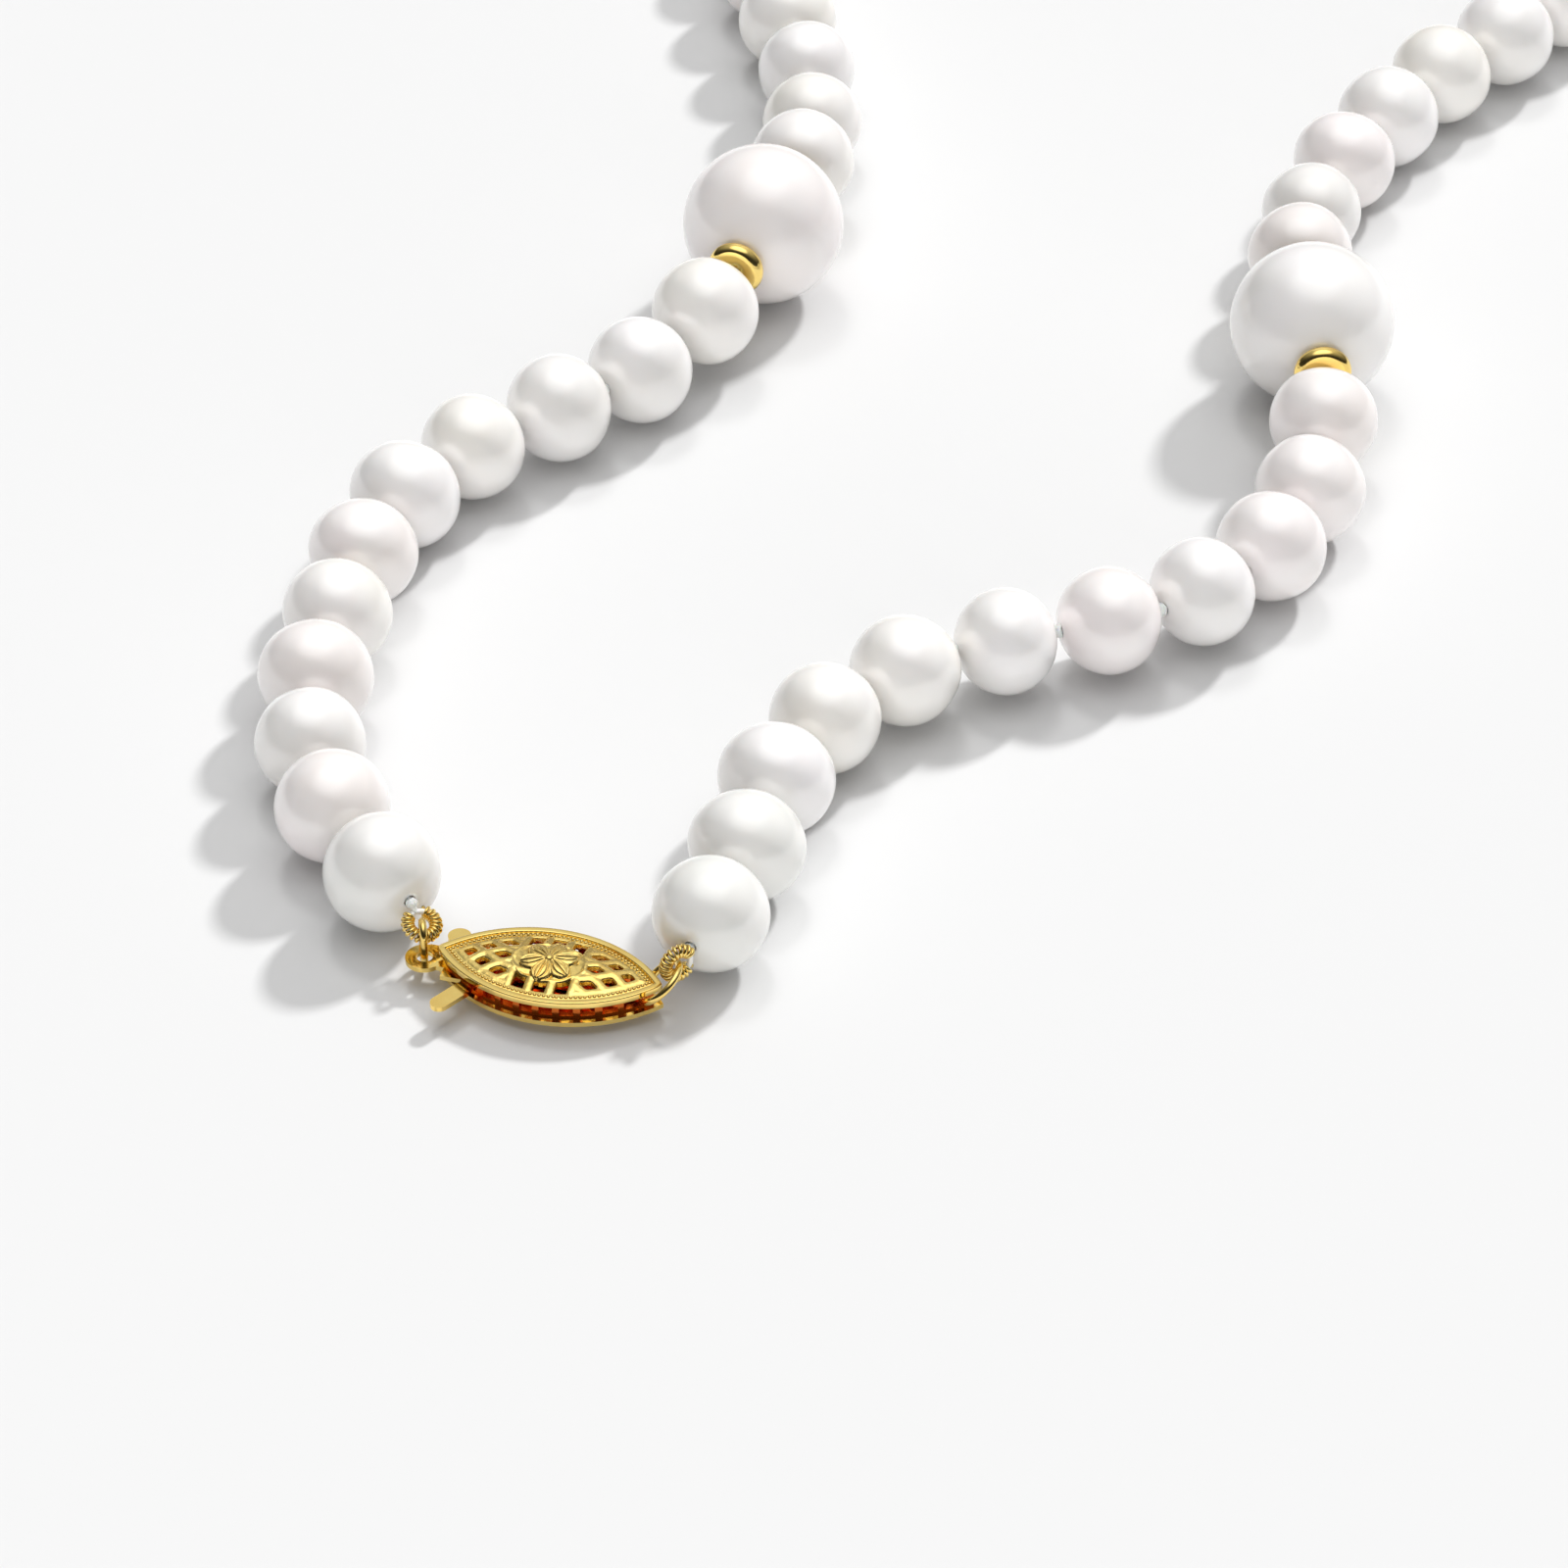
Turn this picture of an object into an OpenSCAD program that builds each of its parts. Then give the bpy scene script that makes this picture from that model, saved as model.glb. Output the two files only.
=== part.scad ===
// Pearl necklace: two strands of knotted pearls, two large pearls set between
// rondelles, and a marquise box clasp. Millimetres, Z up, origin on the floor
// under the middle of the clasp, X along the clasp towards its ring end.

/* [Pearls] */
// Diameter of each of the two large pearls
big_d = 10.9; // [10:0.1:11.5]
// Length of each large pearl along the thread
big_l = 10.5; // [10:0.1:11]
// Diameter of the hole drilled through every pearl
bore_d = 0.8; // [0.72:0.02:0.9]

/* [Silk] */
// Thickness of the silk thread
silk_d = 0.5; // [0.3:0.05:0.6]
// Diameter of each knot between two pearls
knot_d = 0.84; // [0.7:0.02:0.86]
// Bare thread between two neighbours
gap = 0.45; // [0.44:0.01:0.6]

/* [Rondelles] */
// Diameter of the rondelles on both sides of a large pearl
rondelle_d = 3.8; // [3:0.1:4.2]
// Thickness of a rondelle
rondelle_t = 1.2; // [0.8:0.1:1.4]

/* [Clasp] */
// Length of the clasp plates from tip to tip
clasp_l = 13.8; // [13.4:0.1:14.2]
// Width of the clasp plates
clasp_w = 6.8; // [6.4:0.1:7.2]
// Width of the strip that slides into the clasp
strip_w = 2; // [1.6:0.1:2.2]
// Thickness of the wire in both rings
wire_d = 0.44; // [0.36:0.02:0.48]
// Thickness of the coiled wire tubes round the silk
coil_d = 0.86; // [0.8:0.02:0.9]

/* [Hidden] */
$fn = 72;
gold = [0.90, 0.70, 0.30];
pearl_white = [0.94, 0.93, 0.90];
silk_white = [0.97, 0.96, 0.93];

// Diameter and length of the pearls, counted from the clasp.
left_near = [[7.2,6.7],[7,6.6],[6.8,6.3],[7.2,6.3],[6.9,6.2],[7,6.4],[7.2,6.4],[6.9,6.6],
    [7.1,6.6],[7.1,6.6],[7.2,6.8],[big_d,big_l],[7.1,6.5],[6.9,6.5],[6.9,6.6],[7,6.6]];
right_near = [[7,6.6],[7,6.3],[7.2,6.3],[7,6.6],[7,6.8],[6.7,6.4],[6.8,6.5],[6.9,6.3],
    [7.1,6.5],[7.2,6.5],[7.1,6.5],[big_d,big_l],[7,6.6],[6.8,6.5],[7,6.6],[7.1,6.6],
    [7,6.8],[7,6.8]];
far_size = [[7,6.6],[6.9,6.5],[7.1,6.6],[7,6.5],[6.8,6.5],[7,6.7]];
function size_of(s, i) = let (n = s == 0 ? left_near : right_near)
    i < len(n) ? n[i] : far_size[(i - len(n)) % len(far_size)];

// Direction each pearl's thread runs in, in degrees from X, counted from the clasp.
left_way = [138,127,113,98,95,93,78,58,51,61,75,87,95,103,113,120,116,112,107,101,
    95,88,80,71,61,51,41,30,18,6];
right_way = [84,91,89,71,49,33,34,52,72,88,101,108,101,88,77,73,65,59,67,72,79,87,
    95,104,113,124,135,147];

// Heights of the knots. The large pearls lift the knots beside them.
low_z = 3.62;
high_z = big_d / 2 + 0.02;
function knot_z(k) = k == 11 || k == 12 ? high_z : low_z;

// Straight distance from knot to knot, and the part of it that lies level.
seat = 0.02;
function pitch(s, i) = size_of(s, i)[1] + gap + (i == 11 ? 2 * (rondelle_t + seat) : 0);
function level(s, i) = sqrt(pow(pitch(s, i), 2) - pow(knot_z(i + 1) - knot_z(i), 2));
function dir(a) = [cos(a), sin(a), 0];

// Ring on the left: an upright link through the eye of the hook.
eye = [-7.6, -0.2, 0];
link_way = 112;
link_w = 1.5;
link_low = 1.2;
link_high = 2.75;
coil_r = 0.85;
left_coil = [eye[0], eye[1], 2.8] + 1.6 * dir(link_way);
left_coil_lift = 25;

// Ring on the right: a round ring that leans out of the clasp.
ring_low = [5.6, 0, 1.45];
ring_way = 8;
ring_tilt = 43;
ring_r = 1.5;
ring_e = [cos(ring_tilt) * cos(ring_way), cos(ring_tilt) * sin(ring_way), sin(ring_tilt)];
ring_mid = ring_low + ring_r * ring_e;
ring_at = 30;
right_coil = ring_mid + ring_r * (cos(ring_at) * ring_e + sin(ring_at) * dir(ring_way + 90));
right_coil_way = 48;

// Knots of both strands. The last two pearls on the right close the loop.
neck = 1.1;
left_start = [left_coil[0], left_coil[1], low_z] + neck * dir(left_way[0]);
right_start = [right_coil[0], right_coil[1], low_z] + neck * dir(72);
left_knots = [for (k = 0, p = left_start; k <= 30;
    p = k < 30 ? p + level(0, k) * dir(left_way[k]) + [0, 0, knot_z(k + 1) - knot_z(k)] : p,
    k = k + 1) p];
right_open = [for (k = 0, p = right_start; k <= 28;
    p = k < 28 ? p + level(1, k) * dir(right_way[k]) + [0, 0, knot_z(k + 1) - knot_z(k)] : p,
    k = k + 1) p];
close_v = left_knots[30] - right_open[28];
close_d = norm(close_v);
close_a = acos((pow(pitch(1, 28), 2) + pow(close_d, 2) - pow(pitch(1, 29), 2))
    / (2 * pitch(1, 28) * close_d));
close_way = atan2(close_v[1], close_v[0]) - close_a;
right_knots = concat(right_open,
    [right_open[28] + pitch(1, 28) * dir(close_way), left_knots[30]]);
function knot(s, k) = s == 0 ? left_knots[k] : right_knots[k];

// First and last pearl of each group that moves as one.
group_from = [0, 3, 6, 9, 11, 12, 15, 18, 21, 24, 27];
group_to = [2, 5, 8, 10, 11, 14, 17, 20, 23, 26, 29];

// ---------- shared helpers ----------

// Turns a shape made along Z to run along v, then about its own axis by roll.
module along(v, roll = 0) {
    rotate([0, acos(v[2] / norm(v)), atan2(v[1], v[0])]) rotate([0, 0, roll]) children();
}

// Puts a shape made along Z, centred, on the line from p to q.
module between(p, q, roll = 0) {
    translate((p + q) / 2) along(q - p, roll) children();
}

// Thread along the line from p to q, from a to b millimetres after p.
module thread(p, q, a, b) {
    v = (q - p) / norm(q - p);
    between(p + v * a, p + v * b, 40) cylinder(d = silk_d, h = b - a, center = true);
}

// A pearl: a slightly flattened ball with a drilled hole along Z.
module pearl(d, l) {
    rotate_extrude() intersection() {
        union() {
            translate([(d - l) / 2, 0]) circle(d = l);
            translate([0, -l / 2]) square([(d - l) / 2, l]);
        }
        translate([bore_d / 2, -l]) square([d, 2 * l]);
    }
}

module pearl_group(s, g) {
    color(pearl_white) for (i = [group_from[g] : group_to[g]])
        between(knot(s, i), knot(s, i + 1)) pearl(size_of(s, i)[0], size_of(s, i)[1]);
}

// Silk of one group: thread through its pearls and a knot after each of them.
// At a turning knot the thread of the next group starts just past the knot.
module silk_group(s, g) {
    color(silk_white) {
        for (i = [group_from[g] : group_to[g]]) {
            p = knot(s, i);
            q = knot(s, i + 1);
            end = i == 29;
            thread(p, q, i == group_from[g] && g > 0 ? 0.5 : 0,
                norm(q - p) - (end && s == 1 ? 0.5 : 0));
            if (!end) translate(q) along(q - p, 110) sphere(d = knot_d);
        }
    }
}

// Coiled wire tube bent to an open loop round the silk, open towards +X.
module coil() {
    rotate([0, 0, 45]) rotate_extrude(angle = 270) translate([coil_r, 0]) difference() {
        circle(d = coil_d);
        circle(d = silk_d + 0.06);
    }
}

// Silk loop inside the coil, with the neck that reaches the first pearl.
module silk_loop() {
    rotate_extrude() translate([coil_r, 0]) circle(d = silk_d);
}

// Marquise outline as a solid, in from the edge by inset, from z0 to z1.
arc_r = (clasp_l * clasp_l + clasp_w * clasp_w) / (4 * clasp_w);
arc_c = arc_r - clasp_w / 2;
module marquise(inset, z0, z1) {
    intersection_for (y = [-1, 1]) translate([0, y * arc_c, z0])
        cylinder(r = arc_r - inset, h = z1 - z0, $fn = 200);
}

// Curved shell over the marquise, rising from z = 0 to rise at the middle.
module bulge(inset, rise) {
    w = clasp_w / 2 - inset;
    l = clasp_l / 2 - inset;
    rw = (w * w + rise * rise) / (2 * rise);
    rl = (l * l + rise * rise) / (2 * rise);
    intersection() {
        marquise(inset, -0.2, rise + 1);
        translate([0, 0, rise - rw]) rotate([0, 90, 0])
            cylinder(r = rw, h = clasp_l, center = true, $fn = 200);
        translate([0, 0, rise - rl]) sphere(r = rl, $fn = 200);
    }
}

// Diamond openings of the pierced plates, cut from z0 to z1.
module lattice(z0, z1) {
    for (c = [[2.1, 3], [2.9, 2], [3.7, 3], [4.5, 2]], m = [-1, 1], k = [0 : c[1] - 1])
        translate([m * c[0], (k - (c[1] - 1) / 2) * (c[0] > 3 ? 0.85 : 1.15), z0])
            rotate([0, 0, 45]) translate([-0.26, -0.26, 0]) cube([0.52, 0.52, z1 - z0]);
    for (x = [-1.2, 0, 1.2], y = [-1, 1])
        translate([x, y * 2.1, z0]) rotate([0, 0, 45]) translate([-0.2, -0.2, 0])
            cube([0.4, 0.4, z1 - z0]);
}

// ---------- clasp ----------

module clasp_top_plate() {
    color(gold) difference() {
        union() {
            marquise(0, 2, 2.3);
            difference() { marquise(0, 2.3, 2.44); marquise(0.3, 2.2, 2.6); }
            translate([0, 0, 2.3]) bulge(0.75, 0.42);
            for (a = [0 : 45 : 315]) rotate([0, 0, a + 22.5]) translate([0.95, 0, 2.32])
                sphere(r = 0.56, $fn = 40);
            translate([0, 0, 2.55]) sphere(r = 0.42, $fn = 40);
        }
        lattice(1.8, 3.2);
        translate([0, 0, 1.99]) bulge(1.15, 0.3);
        translate([0, 0, 1]) cube([3.6, 3.6, 1.98], center = true);
    }
}

module clasp_bottom_plate() {
    color(gold) difference() {
        union() {
            marquise(0, 0.7, 1);
            translate([0, 0, 0.75]) mirror([0, 0, 1]) bulge(0.75, 0.85);
        }
        translate([0, 0, -1]) cube([20, 20, 2], center = true);
        translate([0, 0, 1.01]) mirror([0, 0, 1]) bulge(1.3, 0.5);
        for (x = [-3.9, 3.9], y = [-0.45, 0.45]) translate([x, y, -0.5])
            rotate([0, 0, 45]) translate([-0.25, -0.25, 0]) cube([0.5, 0.5, 2]);
    }
}

module clasp_gallery() {
    color(gold) difference() {
        marquise(0.45, 1, 2);
        marquise(0.85, 0.9, 2.1);
        for (x = [-3.4, -2.2, -1, 0.2, 1.4, 2.6, 3.8])
            translate([x, -5, 1.14]) cube([0.8, 10, 0.7]);
        translate([4.9, -5, 1.14]) cube([1.1, 10, 0.7]);
        translate([-8, -5, 1.14]) cube([4.2, 10, 0.7]);
        translate([-8, -1.08, 0.9]) cube([3.6, 2.16, 0.9]);
    }
}

// Bar under the top plate that the spring leaf catches behind.
module clasp_latch_bar() {
    color(gold) translate([-3.7, -1.3, 1.68]) cube([0.3, 2.6, 0.32]);
}

module clasp_end_ring() {
    color(gold) translate(ring_mid) rotate([0, 0, ring_way]) rotate([0, -ring_tilt, 0])
        rotate_extrude() translate([ring_r, 0]) circle(d = wire_d);
}

// ---------- hook ----------

hinge_x = 3;
hinge_z = 1.38;

// Flat hook with eye and finger wings outside, and the strip that slides in.
module hook_tongue() {
    color(gold) {
        difference() {
            union() {
                translate([eye[0], eye[1], 1.35]) cylinder(r = 1.15, h = 0.3);
                translate([-7.6, -0.9, 1.35]) cube([3.3, 1.9, 0.3]);
                translate([-6.2, -1.7, 1.35]) cube([2, 3.5, 0.3]);
                translate([-5.5, -4, 1.35]) cylinder(r = 0.55, h = 0.3);
                translate([-4.6, -2.4, 1.35]) cylinder(r = 0.55, h = 0.3);
                translate([-5.05, -3.2, 1.35]) rotate([0, 0, 60.6])
                    translate([-0.92, -0.55, 0]) cube([1.84, 1.1, 0.3]);
                translate([-4.9, -2.4, 1.35]) cube([0.85, 1, 0.3]);
                translate([-6.2, 2.2, 1.35]) cylinder(r = 0.7, h = 0.3);
                translate([-6.2, 1.4, 1.35]) cube([1.9, 1, 0.3]);
            }
            translate([eye[0], eye[1], 1]) cylinder(r = 0.5, h = 1);
        }
        translate([-4.5, -strip_w / 2, 1.06]) cube([0.3, strip_w, 0.5]);
        difference() {
            union() {
                translate([-4.5, -strip_w / 2, 1.06])
                    cube([hinge_x + 4.5, strip_w, 0.22]);
                translate([hinge_x, 0, hinge_z]) rotate([90, 0, 0])
                    cylinder(r = 0.32, h = strip_w, center = true);
            }
            translate([hinge_x - 0.45, -0.53, 0.9]) cube([1, 1.06, 1]);
        }
        translate([hinge_x, 0, hinge_z]) rotate([90, 0, 0])
            cylinder(r = 0.15, h = strip_w - 0.2, center = true);
    }
}

// Springy leaf folded back over the strip, with its curl round the fold.
module hook_leaf() {
    color(gold) {
        difference() {
            union() {
                translate([hinge_x, 0, hinge_z]) rotate([90, 0, 0])
                    cylinder(r = 0.31, h = 1, center = true);
                translate([hinge_x - 0.45, -0.5, 1.42]) cube([0.45, 1, 0.18]);
            }
            translate([hinge_x, 0, hinge_z]) rotate([90, 0, 0])
                cylinder(r = 0.17, h = 2, center = true);
        }
        translate([-3.15, -0.8, 1.42]) cube([hinge_x + 2.75, 1.6, 0.18]);
    }
}

module ring_left() {
    color(gold) translate([eye[0], eye[1], 0]) rotate([0, 0, link_way]) {
        for (x = [0, link_w]) translate([x, 0, link_low])
            cylinder(d = wire_d, h = link_high - link_low);
        for (m = [0, 1]) translate([link_w / 2, 0, m ? link_high : link_low])
            rotate([90, 0, 0]) rotate([0, 0, m ? 0 : 180]) rotate_extrude(angle = 180)
                translate([link_w / 2, 0]) circle(d = wire_d);
    }
}

module bullion_left() {
    color(gold) translate(left_coil) rotate([0, -left_coil_lift, left_way[0]]) coil();
}

module bullion_right() {
    color(gold) translate(right_coil) rotate([0, 0, right_coil_way]) rotate([90, 0, 0]) coil();
}

// ---------- silk at the clasp ----------

// The two ends of the loop, drawn into the first pearl through a small knot.
module neck_thread(p, q) {
    between(p, q, 40) cylinder(d = silk_d - 0.1, h = norm(q - p), center = true);
    translate(q) sphere(d = silk_d + 0.1);
}

module silk_left_01() {
    silk_group(0, 0);
    color(silk_white) {
        translate(left_coil) rotate([0, -left_coil_lift, left_way[0]]) silk_loop();
        neck_thread(left_coil + coil_r * (cos(left_coil_lift) * dir(left_way[0])
            + [0, 0, sin(left_coil_lift)]), knot(0, 0));
    }
}

module silk_right_01() {
    silk_group(1, 0);
    color(silk_white) {
        translate(right_coil) rotate([0, 0, right_coil_way]) rotate([90, 0, 0]) silk_loop();
        neck_thread(right_coil + coil_r * dir(right_coil_way), knot(1, 0));
    }
}

// ---------- rondelles ----------

// A rounded disc with a hole, threaded on the silk beside a large pearl.
module rondelle(s, end) {
    p = knot(s, end == 0 ? 11 : 12);
    q = knot(s, end == 0 ? 12 : 11);
    v = (q - p) / norm(q - p);
    edge = 0.35;
    color(gold) between(p + v * gap / 2, p + v * (gap / 2 + rondelle_t)) rotate_extrude()
        difference() {
            union() {
                translate([0, -rondelle_t / 2]) square([rondelle_d / 2 - edge, rondelle_t]);
                translate([0, edge - rondelle_t / 2])
                    square([rondelle_d / 2, rondelle_t - 2 * edge]);
                for (y = [-1, 1]) translate([rondelle_d / 2 - edge, y * (rondelle_t / 2 - edge)])
                    circle(r = edge);
            }
            translate([-5, -2]) square([5 + 0.45, 4]);
        }
}

// ---------- one module for each node ----------

module rondelle_left_inner() { rondelle(0, 0); }
module rondelle_left_outer() { rondelle(0, 1); }
module rondelle_right_inner() { rondelle(1, 0); }
module rondelle_right_outer() { rondelle(1, 1); }
module pearls_left_01() { pearl_group(0, 0); }
module pearls_left_02() { pearl_group(0, 1); }
module pearls_left_03() { pearl_group(0, 2); }
module pearls_left_04() { pearl_group(0, 3); }
module large_pearl_left() { pearl_group(0, 4); }
module pearls_left_06() { pearl_group(0, 5); }
module pearls_left_07() { pearl_group(0, 6); }
module pearls_left_08() { pearl_group(0, 7); }
module pearls_left_09() { pearl_group(0, 8); }
module pearls_left_10() { pearl_group(0, 9); }
module pearls_left_11() { pearl_group(0, 10); }
module pearls_right_01() { pearl_group(1, 0); }
module pearls_right_02() { pearl_group(1, 1); }
module pearls_right_03() { pearl_group(1, 2); }
module pearls_right_04() { pearl_group(1, 3); }
module large_pearl_right() { pearl_group(1, 4); }
module pearls_right_06() { pearl_group(1, 5); }
module pearls_right_07() { pearl_group(1, 6); }
module pearls_right_08() { pearl_group(1, 7); }
module pearls_right_09() { pearl_group(1, 8); }
module pearls_right_10() { pearl_group(1, 9); }
module pearls_right_11() { pearl_group(1, 10); }
module silk_left_02() { silk_group(0, 1); }
module silk_left_03() { silk_group(0, 2); }
module silk_left_04() { silk_group(0, 3); }
module silk_left_05() { silk_group(0, 4); }
module silk_left_06() { silk_group(0, 5); }
module silk_left_07() { silk_group(0, 6); }
module silk_left_08() { silk_group(0, 7); }
module silk_left_09() { silk_group(0, 8); }
module silk_left_10() { silk_group(0, 9); }
module silk_left_11() { silk_group(0, 10); }
module silk_right_02() { silk_group(1, 1); }
module silk_right_03() { silk_group(1, 2); }
module silk_right_04() { silk_group(1, 3); }
module silk_right_05() { silk_group(1, 4); }
module silk_right_06() { silk_group(1, 5); }
module silk_right_07() { silk_group(1, 6); }
module silk_right_08() { silk_group(1, 7); }
module silk_right_09() { silk_group(1, 8); }
module silk_right_10() { silk_group(1, 9); }
module silk_right_11() { silk_group(1, 10); }

clasp_top_plate();
clasp_bottom_plate();
clasp_gallery();
clasp_latch_bar();
clasp_end_ring();
hook_tongue();
hook_leaf();
ring_left();
bullion_left();
bullion_right();
rondelle_left_inner();
rondelle_left_outer();
rondelle_right_inner();
rondelle_right_outer();
pearls_left_01();
pearls_left_02();
pearls_left_03();
pearls_left_04();
large_pearl_left();
pearls_left_06();
pearls_left_07();
pearls_left_08();
pearls_left_09();
pearls_left_10();
pearls_left_11();
pearls_right_01();
pearls_right_02();
pearls_right_03();
pearls_right_04();
large_pearl_right();
pearls_right_06();
pearls_right_07();
pearls_right_08();
pearls_right_09();
pearls_right_10();
pearls_right_11();
silk_left_01();
silk_left_02();
silk_left_03();
silk_left_04();
silk_left_05();
silk_left_06();
silk_left_07();
silk_left_08();
silk_left_09();
silk_left_10();
silk_left_11();
silk_right_01();
silk_right_02();
silk_right_03();
silk_right_04();
silk_right_05();
silk_right_06();
silk_right_07();
silk_right_08();
silk_right_09();
silk_right_10();
silk_right_11();
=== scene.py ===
import math

import bpy
import numpy as np
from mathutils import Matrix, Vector


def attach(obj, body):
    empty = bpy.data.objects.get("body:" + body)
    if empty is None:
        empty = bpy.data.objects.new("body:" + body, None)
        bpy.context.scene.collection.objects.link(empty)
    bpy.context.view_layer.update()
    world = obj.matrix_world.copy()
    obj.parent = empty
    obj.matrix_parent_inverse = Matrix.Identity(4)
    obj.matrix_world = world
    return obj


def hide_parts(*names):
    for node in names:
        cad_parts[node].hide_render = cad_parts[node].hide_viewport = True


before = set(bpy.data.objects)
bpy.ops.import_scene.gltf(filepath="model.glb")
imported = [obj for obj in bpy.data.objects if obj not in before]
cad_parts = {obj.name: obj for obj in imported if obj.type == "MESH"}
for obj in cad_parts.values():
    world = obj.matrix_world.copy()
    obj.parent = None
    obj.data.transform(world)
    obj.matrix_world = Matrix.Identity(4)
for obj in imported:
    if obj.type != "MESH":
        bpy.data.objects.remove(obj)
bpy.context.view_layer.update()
MM = 0.001
TAU = 2 * math.pi
rng = np.random.default_rng(7)

# ---------------------------------------------------------------- camera
CAMERA_AT = (0.0873, -0.2713, 0.2326)
CAMERA_LOOK = (-0.207, 0.768, -0.606)

cam_data = bpy.data.cameras.new("camera")
cam_data.lens = 144
cam_data.sensor_width = 36
cam_data.clip_start = 0.01
cam_data.clip_end = 10
cam = bpy.data.objects.new("camera", cam_data)
bpy.context.scene.collection.objects.link(cam)
cam.location = CAMERA_AT
cam.rotation_euler = Vector(CAMERA_LOOK).to_track_quat("-Z", "Y").to_euler()
bpy.context.scene.camera = cam

# ---------------------------------------------------------------- the string's plan (mm)
# These sizes and headings are the CAD source's own, because its file can't be read here.
# A pearl is (diameter, length along the thread); a heading is in degrees from +X.
PER_SIDE = 30
BIG_AT = 11                 # the large pearl's place in each strand, counted from 0
BIG = (10.9, 10.5)
GAP = 0.45                  # room for a knot between two pearls
T_RON, SEAT = 1.2, 0.02     # a rondelle's thickness and its play
LOW, HIGH = 3.62, 5.47      # height of the thread at small and at large pearls
NEAR = [
    [(7.2, 6.7), (7, 6.6), (6.8, 6.3), (7.2, 6.3), (6.9, 6.2), (7, 6.4), (7.2, 6.4), (6.9, 6.6),
     (7.1, 6.6), (7.1, 6.6), (7.2, 6.8), BIG, (7.1, 6.5), (6.9, 6.5), (6.9, 6.6), (7, 6.6)],
    [(7, 6.6), (7, 6.3), (7.2, 6.3), (7, 6.6), (7, 6.8), (6.7, 6.4), (6.8, 6.5), (6.9, 6.3),
     (7.1, 6.5), (7.2, 6.5), (7.1, 6.5), BIG, (7, 6.6), (6.8, 6.5), (7, 6.6), (7.1, 6.6),
     (7, 6.8), (7, 6.8)]]
# Pearls past the near ones repeat these six.
FAR = [(7, 6.6), (6.9, 6.5), (7.1, 6.6), (7, 6.5), (6.8, 6.5), (7, 6.7)]
WAY = [
    [138, 127, 113, 98, 95, 93, 78, 58, 51, 61, 75, 87, 95, 103, 113, 120, 116, 112, 107, 101,
     95, 88, 80, 71, 61, 51, 41, 30, 18, 6],
    [84, 91, 89, 71, 49, 33, 34, 52, 72, 88, 101, 108, 101, 88, 77, 73, 65, 59, 67, 72, 79, 87,
     95, 104, 113, 124, 135, 147]]
SIDE = ["left", "right"]
# First and last pearl of each group that turns as one.
GROUPS = [(0, 2), (3, 5), (6, 8), (9, 10), (11, 11), (12, 14), (15, 17), (18, 20), (21, 23),
          (24, 26), (27, 29)]


def size_of(s, i):
    return NEAR[s][i] if i < len(NEAR[s]) else FAR[(i - len(NEAR[s])) % len(FAR)]


def knot_z(k):
    return HIGH if k in (BIG_AT, BIG_AT + 1) else LOW


def pitch(s, i):
    """From one knot to the next; a large pearl has a rondelle at each side."""
    return size_of(s, i)[1] + GAP + (2 * (T_RON + SEAT) if i == BIG_AT else 0)


def way(a, z=0.0):
    """The unit vector of a heading in plan, with z as its height."""
    return Vector((math.cos(math.radians(a)), math.sin(math.radians(a)), z))


# The hook's eye, the left ring's heading and the two coiled wires.
EYE = Vector((-7.6, -0.2, 0))
LINK_WAY = 112
WIRE_R = 0.22               # half the thickness of both rings' wire
COIL_R = 0.85
COIL_L = Vector((EYE.x, EYE.y, 2.8)) + way(LINK_WAY) * 1.6
LIFT = math.radians(25)     # the left coil rises towards its pearl
# The end ring: its lowest point, heading, tilt and radius.
RING_LOW, RING_WAY, RING_TILT, RING_R = Vector((5.6, 0, 1.45)), 8, math.radians(43), 1.5
RING_E = Vector((math.cos(RING_TILT) * way(RING_WAY).x, math.cos(RING_TILT) * way(RING_WAY).y,
                 math.sin(RING_TILT)))
RING_MID = RING_LOW + RING_E * RING_R
COIL_ON_RING = math.radians(30)
COIL_RT = RING_MID + (RING_E * math.cos(COIL_ON_RING)
                      + way(RING_WAY + 90) * math.sin(COIL_ON_RING)) * RING_R
COIL_RT_WAY = 48
NECK, NECK_RT_WAY = 1.1, 72     # from a coil's middle to its strand's first knot
# The clasp's plates: two equal arcs, of radius ARC_R, whose centres are ARC_C off the axis.
CL, CW = 13.8, 6.8
ARC_R = (CL * CL + CW * CW) / (4 * CW)
ARC_C = ARC_R - CW / 2


def walk(s, start):
    """The knots of one strand, one after another along its headings."""
    p = [start]
    for i, a in enumerate(WAY[s]):
        dz = knot_z(i + 1) - knot_z(i)
        p.append(p[-1] + way(a) * math.sqrt(pitch(s, i) ** 2 - dz ** 2) + Vector((0, 0, dz)))
    return p


KNOTS = [walk(0, Vector((COIL_L.x, COIL_L.y, LOW)) + way(WAY[0][0]) * NECK),
         walk(1, Vector((COIL_RT.x, COIL_RT.y, LOW)) + way(NECK_RT_WAY) * NECK)]
# The right strand's last two pearls close the loop at the left strand's last knot.
meet, last = KNOTS[0][PER_SIDE], KNOTS[1][PER_SIDE - 2]
gap = meet - last
p1, p2 = pitch(1, PER_SIDE - 2), pitch(1, PER_SIDE - 1)
turn = math.acos((p1 ** 2 + gap.length_squared - p2 ** 2) / (2 * p1 * gap.length))
KNOTS[1] += [last + way(math.degrees(math.atan2(gap.y, gap.x) - turn)) * p1, meet]


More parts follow.
